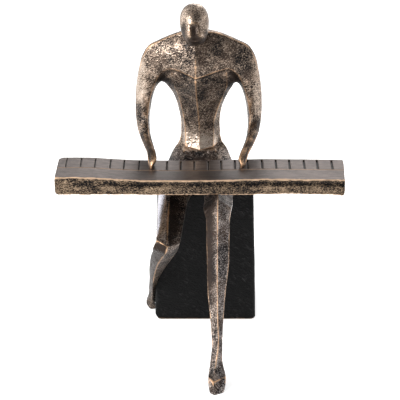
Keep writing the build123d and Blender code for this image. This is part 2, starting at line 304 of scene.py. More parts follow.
# Chest plate and arm run on in one sweep. Corners of a section, in order: front ridge at the top or outer
# side, outer ridge, back outer, back inner, inner ridge, front ridge at the bottom or inner side.
RIGHT_CHEST_AND_ARM = [
    [(-9.5, -53.5, 304.5), (-9, -42, 306.5), (-8.5, -20, 299),
     (-8.5, -11, 262), (-9, -34, 250), (-10, -61, 260.5)],
    [(-17, -52.5, 304.4), (-16.5, -42, 306), (-16, -19, 299),
     (-17, -12, 260), (-18, -35, 251), (-18.6, -58.5, 264.5)],
    [(-25.5, -50.5, 303), (-25, -41, 304), (-25, -19, 296),
     (-26, -13, 258), (-27, -36, 253), (-26.6, -56, 267.5)],
    [(-35, -48.6, 299.1), (-35.5, -40, 299.8), (-37, -20, 292),
     (-36, -15, 256), (-37, -38, 252), (-36.6, -52, 268.6)],
    [(-44.3, -47, 294.5), (-45.5, -39, 295), (-46, -22, 288),
     (-43, -17, 255), (-43.5, -38, 251.5), (-44, -48.5, 263.3)],
    [(-53.8, -46, 289.2), (-55.8, -38.5, 289.5), (-56, -23, 282),
     (-47.5, -18, 250), (-48.5, -37.5, 246.6), (-49, -46, 253.8)],
    [(-60, -45.3, 280.2), (-62.4, -37.5, 279.2), (-61.5, -22, 272),
     (-50.5, -18, 243), (-51.2, -36.5, 240), (-52.4, -44.5, 245.5)],
    [(-63.6, -44.6, 268.5), (-66.2, -36.5, 265.3), (-64.5, -21, 259),
     (-52.5, -17.5, 235.5), (-53.3, -35, 232.6), (-54.7, -42.8, 236.6)],
    [(-65.3, -43, 250), (-69.1, -35, 246), (-67, -19, 241),
     (-54.5, -16.5, 225), (-55.3, -34, 223), (-56.7, -41, 226)],
    [(-65.6, -40.5, 233), (-70, -32.5, 231), (-68, -17, 227),
     (-56, -16, 214), (-56.5, -32, 212.5), (-57.7, -38.5, 215.5)],
    [(-65.6, -38.5, 218), (-70, -29.5, 214), (-68, -15, 210),
     (-57, -17, 201), (-56.4, -34, 205), (-57.6, -40.5, 208)],
    [(-64.3, -42.5, 208), (-68.4, -35, 204), (-66, -23, 197),
     (-57, -26, 192), (-55.2, -42, 200), (-56.8, -47, 203)],
    [(-61.8, -52.5, 201.6), (-65.2, -47.5, 197.6), (-62.5, -40, 190),
     (-55.5, -42, 187.5), (-53.4, -54, 196.6), (-55.2, -57.5, 198.8)],
    [(-58.2, -65.5, 196), (-61.2, -62, 193), (-58.5, -57, 186),
     (-52.5, -58, 185), (-50.8, -67, 192.6), (-52.4, -69, 194.6)],
    [(-55, -76, 192), (-57.8, -75, 189.6), (-55.5, -70, 182.6),
     (-50.5, -71, 182), (-48.6, -78, 189), (-50, -79, 191)],
    [(-53.6, -83.5, 187.6), (-57, -82, 185.6), (-55, -76, 179.5),
     (-50.5, -76, 179), (-48.2, -84, 185.6), (-49.8, -85.5, 187.4)],
    [(-54.2, -88.5, 182), (-55.8, -87, 180.6), (-54.8, -82, 176),
     (-52.4, -82, 176), (-51.2, -87.5, 180.6), (-52.2, -89.5, 181.8)],
    [(-54, -89.6, 177.3), (-55, -88.5, 176), (-54.6, -86, 173),
     (-53.2, -86, 173), (-52.8, -88.5, 176), (-53.2, -90, 177.2)],
]
ARM_BULGE = (0.02, 0.04, 0.05, 0.05, 0.03, 0.12)
BEVEL = 0.5  # how much of the drawn bevel between the two outer ridges is kept
MIDDLE_X = -6.95  # the shoulders are symmetric about this plane
HAND_SHIFT = -5.0  # the left hand reaches further in than the right one
WRIST_STATION = 12
HAND_STATIONS = 5  # from the wrist to the fingertips


def narrow_bevel(stations):
    """Moves the front ridge out towards the outer ridge."""
    out = []
    for corners in stations:
        front, outer = np.array(corners[0]), np.array(corners[1])
        out.append([tuple(outer + (front - outer) * BEVEL)] + list(corners[1:]))
    return out


def mirrored_arm(stations):
    """The left chest plate and arm, from the right one. They share their first section."""
    out = stations[:1]
    for i, corners in enumerate(stations[1:], start=1):
        shift = HAND_SHIFT * (max(0, i - WRIST_STATION) / HAND_STATIONS) ** 1.5 - (2.2 if i == 1 else 0)
        out.append([(2 * MIDDLE_X - x + shift, y, z) for x, y, z in corners])
    return out


# Waist and belly. Corners: right side, right front ridge, middle ridge, left front ridge, left side,
# left back, spine, right back.
BELLY = [
    [(-24.4, -22, 184.5), (-19.9, -36.5, 183), (-5.7, -41.5, 180), (7.8, -37.5, 183), (14.4, -22, 184.5),
     (8, -7, 186), (-5, -4, 186), (-18, -7, 186)],
    [(-24.8, -22, 193), (-20.3, -33.2, 193), (-6.1, -38.2, 191), (8, -34, 193), (14.8, -22, 193),
     (7.5, -8, 193), (-5, -6, 193), (-17.5, -8, 193)],
    level(206, (-24.8, -23.5), (-21, -31.5), (-6.5, -37.5), (8.2, -32.5), (14.4, -23.5),
          (7.5, -9.5), (-5.2, -7.5), (-17.5, -9.5)),
    level(221, (-27.3, -26), (-23.6, -33.5), (-7.6, -40.8), (12, -34), (16.2, -26),
          (9.5, -10.5), (-6, -8.5), (-20, -10.5)),
    level(237, (-32, -31), (-27, -38.5), (-9, -47.5), (17.5, -38.5), (22, -31),
          (16, -12), (-7, -9.5), (-28, -12)),
    [(-38.5, -35.5, 247.5), (-31, -45.5, 250), (-9.7, -53.5, 247.5), (21, -45.5, 250), (27.5, -35.5, 247.5),
     (23, -14, 249), (-7.5, -10.5, 249), (-35, -14, 249)],
    [(-43.6, -41, 254), (-33.5, -51.2, 264.5), (-10, -60, 257.6), (20.5, -51.2, 264.5), (31, -41, 254),
     (26, -15, 262), (-8, -11.5, 262), (-38, -15, 262)],
    [(-38, -36, 278), (-32, -46, 280), (-10, -50, 278), (22, -46, 280), (26, -36, 278),
     (22, -18, 278), (-8, -14, 278), (-34, -18, 278)],
]
BELLY_BULGE = (0, -0.02, -0.02, 0, 0.05, 0.08, 0.08, 0.05)

HIPS = [
    level(135.7, (-40, -26), (-38, -48), (-8, -46), (25, -48), (29, -26),
          (20, 8), (-6, 5), (-31, 8)),
    level(150, (-40.5, -26), (-38, -49), (-8, -45), (25, -49), (29.5, -26),
          (20, 8.5), (-6, 4.5), (-31, 8.5)),
    level(160, (-38.8, -24), (-33, -49), (-8, -46), (22, -49), (28, -24),
          (18, 7), (-6, 3), (-29, 7)),
    level(170, (-35.2, -23), (-26, -43), (-7, -41), (14, -43), (24.6, -23),
          (13, 3), (-5.5, 0), (-24, 3)),
    level(178, (-31, -22), (-22, -35), (-6, -36.5), (10, -35), (21.2, -22),
          (9.5, -2), (-5, -3), (-20, -2)),
    level(184, (-27, -22), (-20, -29), (-6, -30), (8, -29), (17, -22),
          (7.5, -6), (-5, -5), (-17.5, -6)),
    level(192, (-24.8, -22), (-18, -28), (-6, -29), (7, -28), (14.8, -22),
          (7, -8), (-5, -6), (-17, -8)),
]
HIPS_BULGE = (0.03, 0, 0, 0.03, 0.06, 0.08, 0.08, 0.06)

# Legs. Corners: crest on top of the thigh and down the shin, right side, back right, back left, left side.
LEFT_LEG = [
    [(10, -38, 171), (-5, -38, 158), (-2, -38, 140), (22, -38, 140), (27.5, -38, 158)],
    [(10, -64, 164.5), (-2.5, -64, 152), (1, -64, 138), (22, -64, 138), (27, -64, 152)],
    [(11, -95, 162), (-1.5, -95, 149), (3, -95, 136), (21, -95, 136), (26.5, -95, 149)],
    [(11.4, -118, 161.8), (-2, -116, 149), (4, -112, 135), (20, -112, 135), (26, -116, 149)],
    [(11.5, -132, 161), (-2.2, -127, 149), (4, -117, 133), (20, -117, 133), (24.8, -127, 149)],
    [(11.3, -141.5, 152), (-0.4, -133.5, 144), (5, -121, 131), (18, -121, 131), (23.6, -133.5, 144)],
    [(11.2, -151, 129), (0.4, -144.5, 124), (6, -133, 115), (17, -133, 115), (22.9, -144.5, 124)],
    [(11.1, -160.5, 107), (0.9, -154, 103), (6, -144, 97), (17, -144, 97), (22.3, -154, 103)],
    [(11.1, -171, 82), (1.6, -165.5, 79), (6, -157, 74), (16, -157, 74), (19.2, -165.5, 79)],
    [(11.4, -182.5, 58), (4.2, -178, 55), (7, -171, 51), (14.5, -171, 51), (17, -178, 55)],
    [(11.9, -194, 34), (5.6, -190.5, 31), (8, -184, 28), (13.6, -184, 28), (15.9, -190.5, 31)],
    [(9.9, -202, 22.7), (4.2, -197.5, 20.6), (6.5, -188, 13), (14.5, -188, 13), (16, -197.5, 20.6)],
    [(8, -212.5, 15.8), (2.7, -207.5, 13.2), (4.5, -199, 2), (16.5, -199, 2), (18.3, -206.5, 13.6)],
    [(6.5, -225.5, 10.7), (2.3, -218, 13.5), (4, -206, -1), (17, -205, -1), (19, -218, 14)],
]
LEFT_TOES = [
    LEFT_LEG[-1],
    [(7.6, -229, 5), (2.7, -223.5, 6), (4.5, -210, -2), (17, -209, -2), (18.4, -222, 7)],
    [(8.2, -231.2, -3), (4.4, -227, -3), (6, -214, -5), (15.5, -213, -5), (15.6, -226.5, -3)],
]
RIGHT_THIGH = [
    [(-27, -38, 171), (-41, -38, 158), (-38, -38, 137), (-12, -38, 137), (-8, -38, 158)],
    [(-33, -62, 152.5), (-47, -62, 143), (-40, -62, 127), (-20, -62, 127), (-16.5, -62, 145)],
    [(-35.4, -80, 141), (-48, -80, 133.5), (-41, -80, 119), (-22, -80, 119), (-19.5, -80, 135)],
    [(-36.6, -96, 132), (-48.4, -96, 126), (-41, -96, 111), (-25, -96, 111), (-21.6, -96, 126)],
    [(-37.2, -112, 124.5), (-48.4, -112, 119), (-41.5, -109, 104), (-27, -109, 104), (-23.6, -112, 119)],
    [(-37.6, -128.5, 111), (-48.4, -122, 114.8), (-44, -103, 101), (-29.5, -103, 102), (-25.4, -122, 113)],
]
RIGHT_SHIN = [
    RIGHT_THIGH[-1],
    [(-38.8, -128, 105), (-51.4, -120.5, 107.5), (-47, -100, 99), (-33, -100, 100), (-26.2, -120.5, 108.5)],
    [(-42, -119.5, 97), (-51.9, -110.5, 99.5), (-50, -95, 95), (-38, -95, 95), (-27.6, -111.5, 100)],
    [(-46.6, -106, 85), (-53.4, -98.5, 89.5), (-53, -86, 88), (-44, -86, 88), (-31.4, -100, 90)],
    [(-50, -88, 70), (-54.8, -81.5, 75.5), (-55, -73, 79), (-48, -73, 79), (-36.6, -83, 76)],
    [(-52.4, -70, 53.5), (-56, -64.5, 58.5), (-56.8, -58, 63), (-46, -57, 63), (-43.6, -65.5, 59)],
    [(-54, -52, 37), (-56.2, -47.5, 41), (-57.2, -42, 46), (-49.2, -42, 46), (-49.4, -49.5, 41)],
    [(-54.6, -40.5, 25.5), (-57.2, -37, 28), (-58, -31, 31.5), (-49.4, -31, 31.5), (-49.4, -37.5, 28)],
    [(-55.4, -31, 14.5), (-58.4, -28, 16), (-58.6, -21.5, 18.5), (-49.6, -21.5, 18.5), (-49.6, -28, 16)],
    [(-57, -24.4, 5), (-61.2, -21, 6), (-60.3, -15, 8), (-49.6, -15, 8), (-49.6, -21.5, 6)],
    [(-55.6, -20.5, -1.5), (-58, -18.5, -1), (-57, -13, 0), (-49.6, -13, 0), (-49.6, -18.5, -1)],
]
LEFT_LEG_BULGE = (-0.03, 0.05, 0.08, 0.05, -0.02)
RIGHT_THIGH_BULGE = (0.10, 0.06, 0.08, 0.05, -0.07)
RIGHT_SHIN_BULGE = (0.03, 0.06, 0.08, 0.05, 0.02)

# Casting seams, as (point, direction) pairs: what a piece leaves out lies in that direction.
RIGHT_SEAM_X = -44.0
LEFT_SEAM_X = 31.0
WAIST_Z = 178.0
LAP_Y = -46.0
LEG_GAP_X = -8.0
LEFT_KNEE = (12.0, -133.0, 147.0)
LEFT_KNEE_TURN = Vector((0, -0.85, -0.53))
RIGHT_KNEE = (-34.5, -124.0, 113.0)
RIGHT_KNEE_TURN = Vector((-0.1, -0.28, -0.955))
RIGHT_HAND_X = -53
LEFT_HAND_X = 36
TOUCH = 0.05  # gap left where two pieces meet
THIGH_TOP = 172.5  # above the thighs and below the hands
REACH = 8.0  # deepest that a leg runs into the block
SEAT_MARGIN = 1.5  # the hips may overhang the block's edge this far down
BLOCK_TAPER = (2.6, 2.0)  # how much nearer the middle each side is at the top of the block


def figure_skin():
    """Everything but the head, as one skin."""
    arm = narrow_bevel(RIGHT_CHEST_AND_ARM)
    parts = [
        (arm, ARM_BULGE), (mirrored_arm(arm), ARM_BULGE), (BELLY, BELLY_BULGE), (HIPS, HIPS_BULGE),
        (LEFT_LEG, LEFT_LEG_BULGE), (LEFT_TOES, LEFT_LEG_BULGE),
        (RIGHT_THIGH, RIGHT_THIGH_BULGE), (RIGHT_SHIN, RIGHT_SHIN_BULGE)]
    skin = remeshed(joined([loft(stations, bulge) for stations, bulge in parts]), VOXEL)
    finish_surface(skin, VOXEL, figure_polish, figure_soot, pit_depth=0.38, smooth_rounds=1,
                   soften=figure_soften, keen=figure_keen)
    add_attributes(skin, cool=figure_cool(positions(skin)))
    set_positions(skin, clear_of_block(positions(skin)))
    return skin


def clear_of_block(points):
    """Points inside the block moved out through its front or side, whichever is nearer."""
    x, y, z = points.T
    share = np.clip(z / seat_z, 0, 1)
    side = block_low[0] + share * BLOCK_TAPER[0] - TOUCH
    front = block_low[1] + share * BLOCK_TAPER[1] - TOUCH
    below = z < seat_z - SEAT_MARGIN
    into_side, into_front = x - side, y - front
    inside = below & (into_side > 0) & (into_front > 0) & (np.minimum(into_side, into_front) < REACH)
    by_side = inside & (into_side < into_front)
    out = points.copy()
    out[by_side, 0] = side[by_side]
    out[inside & ~by_side, 1] = front[inside & ~by_side]
    return out


def around(points, centre, reach):
    """1 at a centre, falling to 0 at a distance of reach along each axis."""
    gap = np.linalg.norm((points - np.array(centre)) / np.array(reach), axis=1)
    return fade(1.0, 0.35, gap)


def figure_soften(points):
    """Where the casting flows without a crease: the lap and the armpits."""
    lap = around(points, (-7, -30, 164), (36, 40, 17)) * fade(179, 176, points[:, 2])
    pits = around(points, (-44, -40, 253), (10, 14, 11)) + around(points, (30, -40, 253), (10, 14, 11))
    return np.clip(lap + 0.8 * pits, 0, 1)


def figure_cool(points):
    """Where the rubbed metal is greyer: the legs, most on the left shin, and the hips."""
    x, y, z = points.T
    legs = fade(-60, -75, y) * fade(168, 163, z) * (0.5 + 0.4 * (x > 11))
    hips = 0.5 * (z < 178) * (z > 150) * (y > -60)
    return np.clip(legs + hips, 0, 1)


def plate_highlight(points):
    """The bottom of the belly plate, painted bright as a highlight."""
    x, y, z = points.T
    share = fade(205, 189, z) * fade(-24, -30, y) * (z > WAIST_Z)
    return share * (np.abs(x - MIDDLE_X) < 19) * fade(19, 13, np.abs(x - MIDDLE_X - 1))


def forearms(points):
    """Both arms in front of the belly and above the keys."""
    x, y, z = points.T
    return (z > keys_top - 6) * (np.abs(x - MIDDLE_X) > 30)


def figure_polish(points, outward):
    """Smooth, much handled wrists, and painted light: a silvery reflection down the right thigh's outer side
    and on the left knee's outer side, highlights on the outer upper arms, and the belly plate's painted
    highlight.
    """
    x, y, z = points.T
    wrist = fade(200, 186, z) * fade(-50, -62, y) * forearms(points)
    # painted highlight on the outer side of each upper arm, stronger on the right one
    upper_arm = fade(-55, -61, x) * fade(222, 238, z) * fade(283, 268, z)
    upper_arm += 0.5 * fade(44, 50, x) * fade(212, 222, z) * fade(275, 262, z)
    # painted silvery reflection down the outer side of the right thigh
    bound = -47.5 + 9 * fade(112, 148, z)
    thigh = 0.6 * fade(-38, -40, x) + 0.4 * fade(bound + 1, bound - 1, x)
    thigh *= fade(-48.1, -47.4, x) * fade(-55, -66, y) * fade(114, 119, z) * (z < 165)
    # painted silvery reflection on the outer side of the left knee
    knee = fade(17.5, 20.5, x) * fade(-97, -105, y)
    knee = knee * fade(138, 146, z) * fade(168, 161, z)
    thigh += 0.9 * fade(0.5, 0.9, outward[:, 0]) * knee
    return np.clip(0.1 * wrist + 0.15 * plate_highlight(points) + 0.8 * upper_arm + 1.4 * thigh, 0, 1.4)


def figure_soot(points, outward):
    """Darker places, painted shade among them. The lap under the belly plate, the right thigh's inner facet
    beside its crest, the left shin's inner facet and the left half of the chest carry painted shade, and a
    painted dark line runs down the right thigh's outer edge. The neck, the armpits, the left elbow, the
    forearms, the outside of the right calf and foot, the right hip and the left shin's outer side are also
    darker. The belly plate's bottom is lighter, as a painted highlight.
    """
    x, y, z = points.T
    # painted shade in the lap, under the belly plate
    lap = around(points, (-7, -34, 168), (22, 22, 12)) * fade(179, 177, z)
    neck = around(points, (-10, -52, 300), (12, 14, 9))
    calf = (x < -30) * fade(117, 110, z) * fade(-0.05, 0.3, -outward[:, 0])
    calf = np.maximum(calf * fade(26, 40, z), 0.3 * (x < -30) * fade(46, 34, z))
    # painted shade on the right thigh's inner facet, beside its crest
    hollow = (x < -17) * (x > -36) * (z > 112) * (z < 150) * fade(-70, -80, y)
    hollow = hollow * fade(0.1, 0.4, outward[:, 0])
    pits = around(points, (-42, -42, 254), (11, 12, 13)) + around(points, (28, -42, 254), (11, 12, 13))
    elbow = around(points, (50, -38, 207), (9, 14, 5.5))
    forearm = fade(204, 198, z) * fade(-44, -52, y) * forearms(points)
    forearm *= fade(180, 190, z) * np.where(x > 0, 0.5, 0.9)
    # painted shade on the left shin's inner facet, between the legs
    shin = fade(0.1, 0.35, -outward[:, 0]) * fade(10.5, 2.5, x) * (x > -7)
    shin *= fade(-112, -124, y) * fade(55, 95, z)
    hip = fade(-22, -28, x) * fade(146, 154, z) * fade(180, 172, z)
    # painted shade on the left half of the chest
    chest = fade(-9, 0, x) * fade(252, 260, z) * fade(-38, -44, y)
    leg = fade(11, 14, x) * fade(-128, -140, y)
    marks = 0.4 * lap + 0.5 * neck + 1.15 * calf + 0.7 * hollow + 0.6 * pits + 0.8 * elbow + 1.15 * shin
    # a painted dark line down the right thigh's outer edge, beside its painted silvery reflection
    outline = fade(-47.6, -48.1, x) * fade(-55, -66, y) * (z > 120) * (z < 165)
    marks += 1.0 * forearm + 0.3 * hip + 0.12 * chest + 0.15 * leg + outline
    # the belly plate's bottom is made lighter, as a painted highlight
    return np.clip(marks, 0, 1.15) - plate_highlight(points) * np.where(x > MIDDLE_X, 1.3, 1.1)


def figure_keen(points, outward):
    """How bright each ridge was rubbed: 1 on most, less on the legs' sides and in the lap."""
    x, y, z = points.T
    leg = (y < -60) * (z < 165)
    keen = 1.2 - leg * (0.85 - 0.4 * fade(0.25, 0.6, -outward[:, 1]))
    keen = np.maximum(keen, 1.6 * (np.abs(x + 37) < 3) * leg * (z > 113))
    keen *= 1 - 0.85 * (y > -60) * (z > 148) * (z < 177)
    keen *= 1 - 0.7 * (x < -10) * (x > -36) * leg * (z > 98)
    keen *= 1 - (x < -30) * fade(52, 40, z)
    return np.maximum(keen, 1.7 * fade(-219, -222, y)) * fade(7.5, 9.5, z)


def figure_pieces(skin, bronze):
    """Cuts the skin at the casting seams, and places the pieces."""
    keys_under = keys_low[2]
    seams = {
        "right_arm": [
            ((RIGHT_SEAM_X - TOUCH, 0, 0), (1, 0, 0)), ((0, 0, keys_surface(RIGHT_HAND_X)), (0, 0, -1))],
        "left_arm": [
            ((LEFT_SEAM_X + TOUCH, 0, 0), (-1, 0, 0)), ((0, 0, keys_surface(LEFT_HAND_X)), (0, 0, -1))],
        "torso": [
            ((RIGHT_SEAM_X, 0, 0), (-1, 0, 0)), ((LEFT_SEAM_X, 0, 0), (1, 0, 0)),
            ((0, 0, WAIST_Z), (0, 0, -1))],
        "pelvis": [
            ((0, 0, WAIST_Z - TOUCH), (0, 0, 1)), ((0, LAP_Y, 0), (0, -1, 0)), ((0, 0, seat_z), (0, 0, -1))],
        "left_thigh": [
            ((0, LAP_Y - TOUCH, 0), (0, 1, 0)), ((LEG_GAP_X, 0, 0), (-1, 0, 0)),
            (LEFT_KNEE, LEFT_KNEE_TURN), ((0, 0, THIGH_TOP), (0, 0, 1))],
        "left_lower_leg": [
            ((LEG_GAP_X, 0, 0), (-1, 0, 0)), (Vector(LEFT_KNEE) + LEFT_KNEE_TURN * TOUCH, -LEFT_KNEE_TURN),
            ((0, 0, keys_under), (0, 0, 1)), ((0, 0, 0), (0, 0, -1))],
        "right_thigh": [
            ((0, LAP_Y - TOUCH, 0), (0, 1, 0)), ((LEG_GAP_X - TOUCH, 0, 0), (1, 0, 0)),
            (RIGHT_KNEE, RIGHT_KNEE_TURN), ((0, 0, THIGH_TOP), (0, 0, 1))],
        "right_lower_leg": [
            ((LEG_GAP_X, 0, 0), (1, 0, 0)), (Vector(RIGHT_KNEE) + RIGHT_KNEE_TURN * TOUCH, -RIGHT_KNEE_TURN),
            ((0, 0, 0), (0, 0, -1))],
    }
    for node, planes in seams.items():
        piece = cut(skin, node, planes)
        if node.endswith("thigh"):
            points = positions(piece)
            under = points[:, 1] < keys_high[1] + TOUCH
            points[under, 2] = np.minimum(points[under, 2], keys_under - TOUCH)
            set_positions(piece, points)
        place(piece, f"{node}_casting", node, bronze)


# ---- head: an egg without a face, bowed forward on a short neck ----
CROWN = np.array([-12.0, -58.3, 336.0])
CHIN = np.array([-9.8, -81.0, 301.5])
HEAD_RADIUS = 14.2
HEAD_ROWS = 40
HEAD_POINTS = 64  # round each row
HEAD_SHINE = 0.5
NECK = [
    [(-17, -38, 294), (-9, -48, 292), (-1, -38, 294), (-1, -28, 298), (-9, -24, 299), (-17, -28, 298)],
    [(-17.5, -48, 306), (-10, -56, 304), (-2.5, -48, 306), (-3, -38, 310), (-10, -34, 311), (-17, -38, 310)],
    [(-18, -60, 318), (-11, -66, 314), (-4, -60, 318), (-5, -50, 324), (-11, -46, 326), (-17, -50, 324)],
]
NECK_BULGE = (0.1,) * 6


def head_mesh():
    length = np.linalg.norm(CROWN - CHIN)
    along = (CROWN - CHIN) / length
    side = np.array([1.0, 0, 0])
    side -= along * np.dot(side, along)
    side /= np.linalg.norm(side)
    front = np.cross(side, along)
    rings = []
    for i in range(1, HEAD_ROWS):
        turn = pi * i / HEAD_ROWS
        width = HEAD_RADIUS * sin(turn) ** (0.56 if turn < pi / 2 else 0.88) * (1 - 0.12 * cos(turn))
        depth = width * (1.02 + 0.05 * cos(turn))
        centre = CHIN + along * length * (1 - cos(turn)) / 2
        angles = [2 * pi * k / HEAD_POINTS for k in range(HEAD_POINTS)]
        rings.append([centre + side * width * cos(angle) + front * depth * sin(angle) for angle in angles])
    mesh = remeshed(joined([tube(rings), loft(NECK, NECK_BULGE)]), HEAD_VOXEL)

    def spot(points):
        """How far up the head each point is, from 0 to 1, and how far to its side."""
        return (points - CHIN) @ along / length, (points - CHIN) @ side

    points = positions(mesh)
    high, across = spot(points)
    groove = band(across, -0.5, 4.0) * fade(0.0, 0.1, high) * fade(0.44, 0.3, high)
    cheek = band(across, -11.5, 3.2) * fade(0.0, 0.15, high) * fade(0.6, 0.4, high)
    press = (2.2 * groove + 1.6 * cheek) * fade(0, 3, (points - CHIN) @ front)
    set_positions(mesh, points - front * press[:, None])

    # Darker along the groove, on both sides of the jaw and on the brow; painted shade under the chin.
    def soot(points, outward):
        high, across = spot(points)
        mouth = band(across, -0.5, 4.2) * fade(0.5, 0.34, high)
        jaw = band(across, -11.2, 2.4) * fade(0.52, 0.36, high) * fade(0.0, 0.2, high)
        other = band(across, 11.5, 3.0) * fade(0.36, 0.2, high)
        brow = band(across, 0.3, 3.0) * fade(0.42, 0.6, high) * fade(0.98, 0.86, high)
        chin = fade(0.16, 0.04, high)
        return np.clip(mouth + 0.9 * jaw + 0.9 * other + 0.3 * brow + 0.95 * chin, 0, 1)

    def shine(points, outward):
        return np.full(len(points), HEAD_SHINE)

    finish_surface(mesh, HEAD_VOXEL, shine, soot, pit_depth=0.15, smooth_rounds=3)
    return mesh


# ---- keyboard slab ----
KEY_COUNT = 21
KEY_PITCH = 13.76
FIRST_SLOT = 8.9  # from the end of the slab
KEY_LENGTH = 31.0
KEY_STEP = 0.35  # the keys stand this much above the strip in front of them
KEY_DRIFT = 3.0  # how far the low keys stray from an even pitch
DRIFTING_KEYS = 13
SLOT_DEPTH = 1.6
SLAB_EDGE = 1.3  # rounding of the long edges
LEFT_CORNER = 8.0  # rounding of the slab's back corner at the lower notes
TOP_WAVE = [(-146, 1.1), (-112, 0.9), (-92, -0.4), (-73, -1.4), (-39, -2.0), (-6, -2.1), (25, -1.3),
            (52, -0.6), (91, -0.8), (135, -1.4)]
BOTTOM_WAVE = [(-146, 0.2), (-73, 0.2), (-6, 0.0), (52, 0.5), (91, 1.0), (115, 0.3), (135, -0.6)]


def along_slab(wave, x):
    """A smooth line through (x, rise) pairs."""
    at, rise = np.array(wave).T
    slope = np.gradient(rise, at)
    x = np.clip(np.asarray(x, dtype=float), at[0], at[-1])
    i = np.clip(np.searchsorted(at, x, side="right") - 1, 0, len(at) - 2)
    gap = at[i + 1] - at[i]
    return eased((x - at[i]) / gap, gap, rise[i], rise[i + 1], slope[i], slope[i + 1])


def corner_inset(gap, radius):
    """How far a rounded corner stands back, at a distance of gap from its end."""
    return radius - np.sqrt(np.maximum(radius**2 - np.clip(radius - gap, 0, radius) ** 2, 0))


def keys_surface(x):
    """Height of the keys above the floor."""
    return float(keys_top + along_slab(TOP_WAVE, x))


